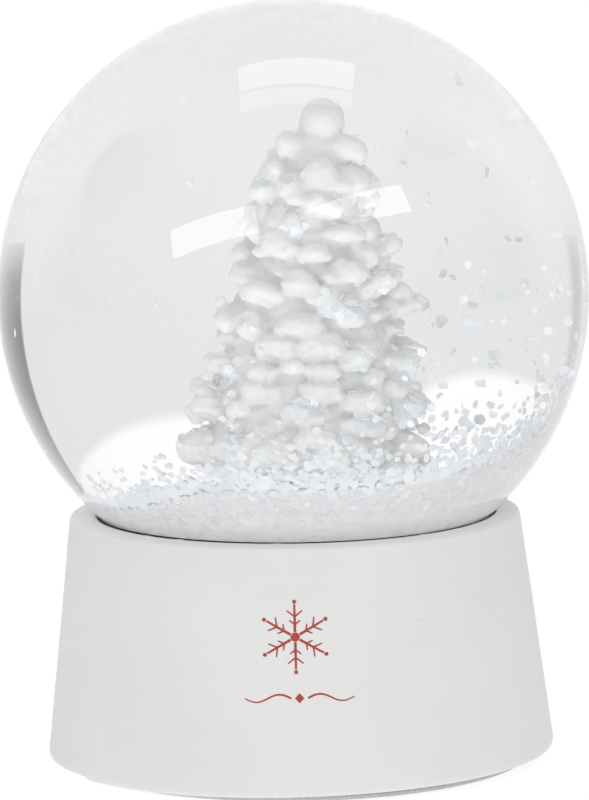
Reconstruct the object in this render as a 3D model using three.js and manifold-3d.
// Snow globe: a liquid-filled glass ball on a flared cast-resin plinth, with a snowy fir tree inside.
// Millimetres, +Z up. Origin: centre of the underside. The front faces -Y.
import * as THREE from "three";
import { mergeVertices } from "three/addons/utils/BufferGeometryUtils.js";
import Module from "manifold-3d";

const wasm = await Module();
wasm.setup();

// ---------- driving dimensions ----------
const DEG = Math.PI / 180;
const SEG = 36; // facets round every turned part, shared so that concentric facets stay parallel
const LAT = 10; // latitude step of the ball's facets, degrees

const BALL_R = 32.5; // outside of the glass ball
const GLASS_T = 2.0; // wall
const INNER_R = BALL_R - GLASS_T;
const BALL_Z = 51.45; // height of the ball's centre
const NECK_R = 19.0; // outside of the neck
const NECK_BORE = 17.0; // inside radius of the neck
const NECK_END = 18.0; // lower end of the neck
const NECK_LIP_R = 19.6; // rolled lip at the neck's end

const BASE_TOP = 27.46; // top rim of the plinth
const BASE_FOOT = 0.5; // lower rim of the plinth, which stands on the pad
const SEAT_R = BALL_R + 0.55; // spherical seat round the ball, concentric with it
const SEAT_OUT = 22.3; // mouth of the seat
const POCKET_R = 20.6; // pocket that takes the neck
const POCKET_Z = 15.5; // its floor
const HOLLOW_Z = 12.5; // roof of the hollow underside
const REBATE_R = 24.2; // rebate for the closing disc
const REBATE_Z = 2.3; // its roof

const BUNG_FOOT = 16.6;
const BUNG_TOP = 26.1;
const MOUND_R = 16.3; // passes through the neck
const MOUND_TOP = 35.9;

// ---------- geometry tools ----------
// A seeded generator of numbers from 0 to 1.
function random(seed) {
  let state = seed >>> 0;
  return () => {
    state = (state + 0x6d2b79f5) >>> 0;
    let bits = Math.imul(state ^ (state >>> 15), 1 | state);
    bits = (bits + Math.imul(bits ^ (bits >>> 7), 61 | bits)) ^ bits;
    return ((bits ^ (bits >>> 14)) >>> 0) / 4294967296;
  };
}
const within = (draw, [low, span]) => low + span * draw();
const around = (draw, spread) => spread * (draw() - 0.5);

// A closed geometry as a solid, whichever way its faces point.
function solid(geometry) {
  const bare = geometry.clone();
  bare.deleteAttribute("normal");
  bare.deleteAttribute("uv");
  const merged = mergeVertices(bare, 1e-4);
  const triVerts = new Uint32Array(merged.index.array);
  const vertProperties = new Float32Array(merged.attributes.position.array);
  const make = () =>
    new wasm.Manifold(new wasm.Mesh({ numProp: 3, vertProperties, triVerts }));
  const result = make();
  if (result.volume() >= 0) return result;
  for (let i = 0; i < triVerts.length; i += 3)
    [triVerts[i + 1], triVerts[i + 2]] = [triVerts[i + 2], triVerts[i + 1]];
  return make();
}

function geometryOf(body) {
  const { vertProperties, triVerts } = body.getMesh();
  const geometry = new THREE.BufferGeometry()
    .setAttribute("position", new THREE.BufferAttribute(new Float32Array(vertProperties), 3))
    .setIndex(new THREE.BufferAttribute(new Uint32Array(triVerts), 1));
  geometry.computeVertexNormals();
  return geometry;
}

// A body turned about Z from [radius, height] points. A ring's profile is closed on itself.
function turned(points, { ring = false, segments = SEG } = {}) {
  const profile = points.map(([r, z]) => new THREE.Vector2(r, z));
  if (THREE.ShapeUtils.area(profile) < 0) profile.reverse();
  if (ring) profile.push(profile[0].clone());
  return new THREE.LatheGeometry(profile, segments).rotateX(Math.PI / 2);
}

// [radius, height] points on a circle about the ball's centre, between two polar angles
// in LAT steps (0 is the top).
function arc(radius, from, to) {
  const way = to > from ? 1 : -1;
  const angles = [from];
  const first = way * Math.floor((way * from) / LAT + 1.2) * LAT;
  for (let angle = first; way * angle < way * to - 1; angle += way * LAT) angles.push(angle);
  angles.push(to);
  return angles.map((angle) => {
    const r = radius * Math.sin(angle * DEG);
    // points on the axis are put exactly on it
    return [Math.abs(r) < 1e-6 ? 0 : r, BALL_Z + radius * Math.cos(angle * DEG)];
  });
}

// On the lower half of a sphere about the ball's centre: polar angle and height at radius r.
const polarAt = (sphereR, r) => 180 - Math.asin(r / sphereR) / DEG;
const heightAt = (sphereR, r) => BALL_Z - Math.sqrt(sphereR * sphereR - r * r);

// Linear interpolation in an [x, y] table, held at its end values.
function interpolate(table, x) {
  const next = table.findIndex(([tableX]) => x <= tableX);
  if (next === 0) return table[0][1];
  if (next < 0) return table.at(-1)[1];
  const [x0, y0] = table[next - 1];
  const [x1, y1] = table[next];
  return y0 + ((y1 - y0) * (x - x0)) / (x1 - x0);
}

// A ring-shaped body between two height fields over a polar grid.
// top and bottom take (radius, angle); outer takes the angle.
function field({ top, bottom, inner, outer, rings }) {
  const positions = [];
  const indices = [];
  const perRow = rings + 1;
  for (let k = 0; k < SEG; k++) {
    const angle = (k / SEG) * 2 * Math.PI;
    for (const height of [top, bottom])
      for (let i = 0; i < perRow; i++) {
        const r = inner + ((outer(angle) - inner) * i) / rings;
        positions.push(r * Math.cos(angle), r * Math.sin(angle), height(r, angle));
      }
  }
  const upper = (k, i) => (k % SEG) * 2 * perRow + i;
  const lower = (k, i) => upper(k, i) + perRow;
  const quad = (a, b, c, d) => indices.push(a, b, c, a, c, d);
  for (let k = 0; k < SEG; k++) {
    for (let i = 0; i < rings; i++) {
      quad(upper(k, i), upper(k, i + 1), upper(k + 1, i + 1), upper(k + 1, i));
      quad(lower(k, i), lower(k + 1, i), lower(k + 1, i + 1), lower(k, i + 1));
    }
    quad(upper(k, rings), lower(k, rings), lower(k + 1, rings), upper(k + 1, rings));
    quad(upper(k, 0), upper(k + 1, 0), lower(k + 1, 0), lower(k, 0));
  }
  return new THREE.BufferGeometry()
    .setAttribute("position", new THREE.BufferAttribute(new Float32Array(positions), 3))
    .setIndex(indices);
}

function piece(name, geometry, material) {
  const mesh = new THREE.Mesh(geometry, material);
  mesh.name = name;
  return mesh;
}

// ---------- materials ----------
const look = (settings) => new THREE.MeshStandardMaterial({ metalness: 0, ...settings });
const resinWhite = look({ color: 0xe6e6e4, roughness: 0.75 });
const figureWhite = look({ color: 0xededeb, roughness: 0.6 });
const glass = look({ color: 0xf4f8f8, roughness: 0.03, transparent: true, opacity: 0.25 });
const liquid = look({ color: 0xf2f6f8, roughness: 0.05, transparent: true, opacity: 0.15 });
const snow = look({ color: 0xe9ebf1, roughness: 0.5 });
const rubber = look({ color: 0x2b2b2b, roughness: 0.8 });
const silicone = look({ color: 0xdadad6, roughness: 0.4 });
const blackSeal = look({ color: 0x1d1d1b, roughness: 0.7 });
const board = look({ color: 0xcdb48a, roughness: 0.85 });
const padWhite = look({ color: 0xe2e2df, roughness: 0.9 });

// ---------- plinth ----------
// outside of the plinth from foot to rim: [radius, height]
const SIDES = [
  [26.3, BASE_FOOT], [27.25, 0.62], [27.75, 0.95], [27.92, 1.55], [27.8, 2.9],
  [26.75, 11.5], [25.8, 19.4], [25.12, 25.0], [24.87, 26.85], [24.78, 27.1],
  [24.58, 27.28], [24.2, 27.37], [23.4, BASE_TOP],
];

function baseShell() {
  const seat = [SEAT_OUT - 0.08, 21.6, POCKET_R].map((r) => [r, heightAt(SEAT_R, r)]);
  const profile = [
    [0, HOLLOW_Z],
    [20.6, HOLLOW_Z],
    [21.6, 11.2],
    [22.9, REBATE_Z],
    [REBATE_R, REBATE_Z],
    [REBATE_R, BASE_FOOT],
    ...SIDES,
    [22.75, BASE_TOP - 0.02],
    [SEAT_OUT, BASE_TOP - 0.08],
    ...seat,
    [POCKET_R, POCKET_Z + 0.6],
    [POCKET_R - 0.6, POCKET_Z],
    [0, POCKET_Z],
  ];
  return piece("base_shell", turned(profile), resinWhite);
}

function closingDisc() {
  const radius = REBATE_R - 0.1;
  const bottom = BASE_FOOT + 0.1;
  const top = REBATE_Z - 0.05;
  const profile = [[0, bottom], [radius, bottom], [radius, top], [0, top]];
  return piece("base_closing_disc", turned(profile), board);
}

function footPad() {
  const radius = 25.45;
  const chamfer = 0.15;
  const profile = [
    [0, 0],
    [radius - chamfer, 0],
    [radius, chamfer],
    [radius, BASE_FOOT],
    [0, BASE_FOOT],
  ];
  return piece("base_foot_pad", turned(profile), padWhite);
}

// ---------- glass ball with its neck ----------
function glassBall() {
  const profile = [
    ...arc(BALL_R, 0, polarAt(BALL_R, NECK_R)),
    [NECK_R, 19.7],
    [NECK_LIP_R - 0.15, 19.3],
    [NECK_LIP_R, 18.7],
    [NECK_LIP_R - 0.3, NECK_END + 0.1],
    [NECK_R - 0.1, NECK_END],
    [NECK_BORE + 0.2, NECK_END],
    [NECK_BORE, NECK_END + 0.3],
    ...arc(INNER_R, polarAt(INNER_R, NECK_BORE), 0),
  ];
  return piece("glass_ball", turned(profile), glass);
}

// ---------- seals and glue ----------
function seatSeal() {
  // [radius of the sphere the corner lies on, radius about Z]
  const corners = [
    [BALL_R + 0.1, 22.1],
    [BALL_R + 0.08, 20.7],
    [SEAT_R - 0.07, 20.75],
    [SEAT_R - 0.07, 22.0],
  ];
  const profile = corners.map(([sphereR, r]) => [r, heightAt(sphereR, r)]);
  return piece("seat_seal_ring", turned(profile, { ring: true }), blackSeal);
}

function neckGlue() {
  const inner = NECK_R + 0.1;
  const outer = POCKET_R - 0.1;
  const profile = [[inner, 20.4], [outer, 20.1], [outer, 24.4], [inner, 24.0]];
  return piece("neck_glue_ring", turned(profile, { ring: true }), silicone);
}

// bead round the bung's flange: [radius, height]
const SEALANT = [
  [19.4, 16.55], [20.1, 16.5], [20.3, 17.2],
  [20.15, 17.95], [19.8, 18.2], [19.4, 17.95],
];
function bungSealant() {
  return piece("bung_sealant_ring", turned(SEALANT, { ring: true }), silicone);
}

// ---------- rubber bung ----------
function rubberBung() {
  const rib = NECK_BORE - 0.05; // sealing ribs
  const waist = 16.55; // between the ribs
  const flange = 19.3;
  const flangeTop = NECK_END - 0.05;
  const profile = [
    [0, BUNG_FOOT],
    [19.0, BUNG_FOOT],
    [flange, 16.9],
    [flange, 17.7],
    [19.1, flangeTop],
    [16.7, flangeTop],
    [waist, 18.6],
    [rib, 19.2],
    [rib, 19.8],
    [waist, 20.5],
    [waist, 21.2],
    [rib, 21.8],
    [rib, 24.6],
    [16.2, 25.7],
    [15.8, BUNG_TOP],
    [0, BUNG_TOP],
  ];
  return piece("rubber_bung", turned(profile), rubber);
}

// ---------- snow-covered mound, cast to pass through the neck ----------
const TREE_X = 0.8; // foot of the tree, off the ball's axis
const TREE_LEAN = 2.8; // degrees towards +X
const PEG_R = 1.5;
const PEG_LEN = 3.2;

// surface of the mound from the middle outwards: [radius, height]
const MOUND = [
  [0, MOUND_TOP], [5.2, MOUND_TOP], [7.0, 35.5], [8.8, 34.75], [10.8, 33.45],
  [13.0, 31.5], [15.0, 29.1], [16.0, 27.7], [MOUND_R, 26.9],
];

// Moves a geometry from the tree's upright frame to its leaning place on the mound.
const leaned = (geometry) =>
  geometry.rotateY(TREE_LEAN * DEG).translate(TREE_X, 0, MOUND_TOP);

// An upright cylinder about Z, for the peg and its holes.
const rod = (radius, bottom, top) =>
  new THREE.CylinderGeometry(radius, radius, top - bottom, 14)
    .rotateX(Math.PI / 2)
    .translate(0, 0, (bottom + top) / 2);

function snowMound() {
  const foot = BUNG_TOP + 0.05;
  const body = solid(turned([[0, foot], [MOUND_R, foot], ...[...MOUND].reverse()]));
  const pegHole = solid(leaned(rod(PEG_R + 0.12, -PEG_LEN - 0.2, 2.2)));
  return piece("snow_mound", geometryOf(body.subtract(pegHole)), figureWhite);
}

// ---------- fir tree, one casting: a tapering core with rounded, snow-laden boughs ----------
const TREE_H = 32.3;
const CORE_LIFT = 0.15; // underside of the core above the foot

// [height, radius] of the core, before the lift
const CORE = [
  [0, 5.4], [2.5, 7.2], [9.0, 6.4], [16.0, 5.2], [23.0, 3.2], [28.0, 1.9], [29.6, 1.5],
];

// [height above the foot, reach of the boughs, boughs, bough thickness]
const TIERS = [
  [2.4, 10.4, 10, 1.6],
  [6.3, 9.9, 10, 1.45],
  [10.1, 9.2, 9, 1.4],
  [14.0, 8.7, 9, 1.35],
  [17.9, 7.4, 8, 1.3],
  [21.5, 6.4, 7, 1.25],
  [24.9, 5.2, 6, 1.2],
  [28.2, 3.5, 4, 1.1],
];

// random variation of the boughs: [low, span] pairs, and spreads about zero
const BOUGH = {
  turnSpread: 0.32, // share of the pitch between boughs
  reach: [0.93, 0.11], // share of the tier's reach
  length: [0.92, 0.2], // share of the usual half-length
  width: [1.75, 0.35], // half-width at the usual thickness
  thickness: [0.85, 0.25], // share of the tier's thickness
  rollSpread: 0.7, // radians
  droop: [10, 18], // degrees below horizontal, outwards
  liftSpread: 1.1,
};
const USUAL_THICKNESS = 1.35;

// ground cut away from the tree's underside: [radius, height]
const GROUND = [
  [0, 20], [17.2, 20], [17.0, 35.2], [14.0, 36.0], [11.0, 35.9],
  [8.9, 36.2], [8.5, 35.1], [7.2, 35.65], [5.5, 36.02], [0, 36.02],
];

// A coarse unit ball with its poles along X.
const unitBall = () => new THREE.SphereGeometry(1, 7, 4).rotateZ(Math.PI / 2);

function makeBoughs() {
  const draw = random(20);
  return TIERS.flatMap(([height, tierReach, count, tierThickness], tier) =>
    Array.from({ length: count }, (_, i) => {
      const stagger = 0.5 * (tier % 2);
      const turn = ((i + stagger + around(draw, BOUGH.turnSpread)) / count) * 2 * Math.PI;
      const reach = tierReach * within(draw, BOUGH.reach);
      const length = Math.max(1.9, reach * 0.36) * within(draw, BOUGH.length);
      const width = within(draw, BOUGH.width) * (tierThickness / USUAL_THICKNESS);
      const thickness = tierThickness * within(draw, BOUGH.thickness);
      const roll = around(draw, BOUGH.rollSpread);
      const droop = within(draw, BOUGH.droop) * DEG;
      const lift = around(draw, BOUGH.liftSpread);
      return solid(
        unitBall()
          .scale(length, width, thickness)
          .rotateX(roll)
          .rotateY(droop)
          .translate(reach - length, 0, height + lift)
          .rotateZ(turn),
      );
    }),
  );
}

function uprightTree() {
  const coreProfile = [
    [0, CORE_LIFT],
    ...CORE.map(([z, r]) => [r, z + CORE_LIFT]),
    [0, 30.6],
  ];
  const core = solid(turned(coreProfile, { segments: 14 }));
  const peg = solid(rod(PEG_R, -PEG_LEN + 0.4, 1.4));
  const crownHalf = 2.2;
  const crown = solid(
    new THREE.IcosahedronGeometry(1, 1)
      .scale(1.95, 1.9, crownHalf)
      .translate(0, 0, TREE_H - crownHalf),
  );
  const shoulder = solid(unitBall().scale(1.5, 1.3, 1.2).translate(1.3, -0.5, 27.3));
  return wasm.Manifold.union([core.add(peg), ...makeBoughs(), crown, shoulder])
    .trimByPlane([0, 0, -1], -TREE_H)
    .simplify(0.16);
}

// The tree set on the mound: its underside follows the ground, with the peg in its hole.
function treeFigurine() {
  const pegRoom = solid(leaned(rod(PEG_R + 0.05, -12, 12)));
  const ground = solid(turned(GROUND)).subtract(pegRoom);
  const tree = solid(leaned(geometryOf(uprightTree()))).subtract(ground);
  return piece("tree_figurine", geometryOf(tree), figureWhite);
}

// ---------- loose snow lying round the mound ----------
const BED_IN = 9.0; // inner edge
const BED_MIN = 0.5; // thinnest layer
const BED_GAP = 0.35; // clearance to the mound and the glass
const LEVEL_Z = 34.4; // the loose snow's level at the middle
const LEVEL_SLOPE = 0.05; // its rise per millimetre, towards LEVEL_AZ
const LEVEL_AZ = 6; // degrees from +X
const BANK = { rise: 5.6, from: 9.0, run: 19 }; // bank on that side
const DIP = { fall: 2.1, from: 11.0, run: 9 }; // hollow on the opposite side
const RIPPLE_R = 26; // radius at which the ripples reach their full height
const BLEND = 0.5; // softness of the change from level to thinnest layer
const EDGE_WIDTH = 2.2; // band over which the outer edge thins

// underside of the snow, over the mound, the glass and the bung
const floorZ = (r) =>
  Math.max(
    r <= MOUND_R + 0.3 ? interpolate(MOUND, Math.max(r - 0.25, 0)) + BED_GAP : 0,
    r > NECK_BORE - 0.6
      ? heightAt(INNER_R, Math.min(Math.max(r, NECK_BORE), 30.3)) + BED_GAP
      : 0,
    BUNG_TOP + 0.4,
  );

const drift = (along) =>
  LEVEL_SLOPE * along +
  BANK.rise * Math.max(0, (along - BANK.from) / BANK.run) ** 2 -
  DIP.fall * Math.max(0, (-along - DIP.from) / DIP.run) ** 1.5;

const level = (r, angle) =>
  LEVEL_Z +
  drift(r * Math.cos(angle - LEVEL_AZ * DEG)) +
  0.35 * Math.sin(3 * angle + 0.6) * (r / RIPPLE_R) +
  0.22 * Math.sin(7 * angle + 1.9) * (r / RIPPLE_R);

function snowTop(r, angle) {
  const low = floorZ(r) + BED_MIN;
  const high = level(r, angle);
  const softening = Math.log(1 + Math.exp(-Math.abs(low - high) / BLEND));
  return Math.max(low, high) + BLEND * softening * 0.6;
}

// Radius at which the thinnest layer on the glass reaches the snow's level.
function rimOf(angle) {
  const thinTop = (r) => heightAt(INNER_R, r) + BED_GAP + BED_MIN;
  let r = 17.6;
  while (r < 29 && thinTop(r) < Math.max(level(r, angle), 27.6) - 0.05) r += 0.02;
  return r;
}

function bedTop(r, angle) {
  const rim = rimOf(angle);
  const top = snowTop(r, angle);
  const edge = Math.max(floorZ(r) + BED_MIN * 0.8, top - 0.25);
  return THREE.MathUtils.lerp(top, edge, THREE.MathUtils.smoothstep(r, rim - EDGE_WIDTH, rim));
}

function snowBed() {
  const bed = field({ top: bedTop, bottom: floorZ, inner: BED_IN, outer: rimOf, rings: 8 });
  return piece("loose_snow_bed", bed, snow);
}

// ---------- single loose flakes, drifting near the glass ----------
const FLAKES = 32;
const FLAKE_T = 0.12;
const FLAKE_SPACING = 2.6;
const FLAKE_CLEAR = 1.6; // least height above the snow
const MAX_TRIES = 4000;
const BANK_SIDE_SHARE = 0.8; // share of the flakes on the +X side

// random variation: [low, span] pairs, angles in degrees
const FLAKE = {
  bankAzimuth: [-75, 150],
  farAzimuth: [110, 140],
  farElevation: [-20, 50],
  distance: [27.6, 1.7], // from the ball's centre
  size: [0.42, 0.16],
  cornerSpread: 0.35, // share of the pitch between corners
  cornerReach: [0.8, 0.25], // share of the size
};
const pick = random(77);

// Places of the flakes, each with its direction from the ball's centre.
function placeFlakes() {
  const places = [];
  for (let tries = 0; places.length < FLAKES && tries < MAX_TRIES; tries++) {
    const bankSide = places.length < FLAKES * BANK_SIDE_SHARE;
    const azimuth = within(pick, bankSide ? FLAKE.bankAzimuth : FLAKE.farAzimuth) * DEG;
    // two draws multiplied crowd the flakes towards the low end
    const elevation =
      (bankSide ? -22 + 66 * pick() * pick() : within(pick, FLAKE.farElevation)) * DEG;
    const distance = within(pick, FLAKE.distance);
    const outward = new THREE.Vector3(
      Math.cos(elevation) * Math.cos(azimuth),
      Math.cos(elevation) * Math.sin(azimuth),
      Math.sin(elevation),
    );
    const at = outward.clone().multiplyScalar(distance);
    at.z += BALL_Z;
    const surface = snowTop(Math.hypot(at.x, at.y), Math.atan2(at.y, at.x));
    if (at.z < surface + FLAKE_CLEAR) continue;
    if (places.some((other) => other.at.distanceTo(at) < FLAKE_SPACING)) continue;
    places.push({ at, outward });
  }
  return places;
}

function snowFlake({ at }, index) {
  const size = within(pick, FLAKE.size);
  const corners = 5 + Math.floor(pick() * 2);
  const outline = Array.from({ length: corners }, (_, i) => {
    const angle = ((i + around(pick, FLAKE.cornerSpread)) / corners) * 2 * Math.PI;
    const reach = size * within(pick, FLAKE.cornerReach);
    return new THREE.Vector2(reach * Math.cos(angle), reach * Math.sin(angle));
  });
  const shape = new THREE.Shape(outline);
  shape.closePath();
  const plate = new THREE.ExtrudeGeometry(shape, { depth: FLAKE_T, bevelEnabled: false });
  plate.translate(0, 0, -FLAKE_T / 2);
  const flake = piece("snow_flake_" + String(index + 1).padStart(2, "0"), plate, snow);
  flake.position.copy(at);
  flake.rotation.set(pick() * Math.PI, pick() * Math.PI, pick() * Math.PI);
  return flake;
}

// ---------- liquid ----------
const LIQUID_R = INNER_R - 0.05;
const CUT_FOOT = 18; // lower end of what is cut from the liquid

// A recess from a flake out to the glass, which keeps the flake and the liquid apart.
function flakeRecess({ at, outward }) {
  const width = 1.5;
  const length = 5;
  const up = new THREE.Vector3(0, 0, 1);
  const middle = at.clone().addScaledVector(outward, (length - width) / 2);
  return solid(
    new THREE.BoxGeometry(width, width, length)
      .applyQuaternion(new THREE.Quaternion().setFromUnitVectors(up, outward))
      .translate(middle.x, middle.y, middle.z),
  );
}

// Widest radius of the leaning tree about the ball's axis, between two heights.
function treeReach(tree, bottom, top) {
  const margin = 1.3;
  const points = tree.geometry.attributes.position;
  let widest = 0;
  for (let i = 0; i < points.count; i++)
    if (points.getZ(i) >= bottom - margin && points.getZ(i) <= top + margin)
      widest = Math.max(widest, Math.hypot(points.getX(i), points.getY(i)));
  return widest;
}

// A turned body that clears the tree and never widens upwards.
function treeEnvelope(tree) {
  const heights = Array.from({ length: 10 }, (_, i) => 33.5 + 3.5 * i);
  let radius = Infinity;
  const sides = heights.map((z, i) => {
    radius = Math.min(treeReach(tree, z, heights[i + 1] ?? z + 3) + 0.45, radius);
    return [radius, z];
  });
  return turned([
    [0, CUT_FOOT],
    [sides[0][0], CUT_FOOT],
    ...sides,
    [radius * 0.72, 68.3],
    [0, 69.0],
  ]);
}

function liquidFill(tree, places) {
  const snowRoom = field({
    top: (r, angle) => snowTop(r, angle) + 0.55,
    bottom: () => CUT_FOOT,
    inner: 5,
    outer: () => 31.5,
    rings: 9,
  });
  const body = solid(turned(arc(LIQUID_R, 0, 180)))
    .subtract(solid(snowRoom))
    .subtract(solid(treeEnvelope(tree)))
    .subtract(wasm.Manifold.union(places.map(flakeRecess)));
  return piece("liquid_fill", geometryOf(body), liquid);
}

// ---------- assembly ----------
const globe = new THREE.Group();
globe.add(baseShell(), closingDisc(), footPad(), glassBall());
globe.add(seatSeal(), neckGlue(), bungSealant(), rubberBung());
const tree = treeFigurine();
globe.add(snowMound(), tree, snowBed());

// the liquid and the flakes carried in it
const spinning = new THREE.Group();
const places = placeFlakes();
spinning.add(...places.map(snowFlake), liquidFill(tree, places));
globe.add(spinning);

export default globe;
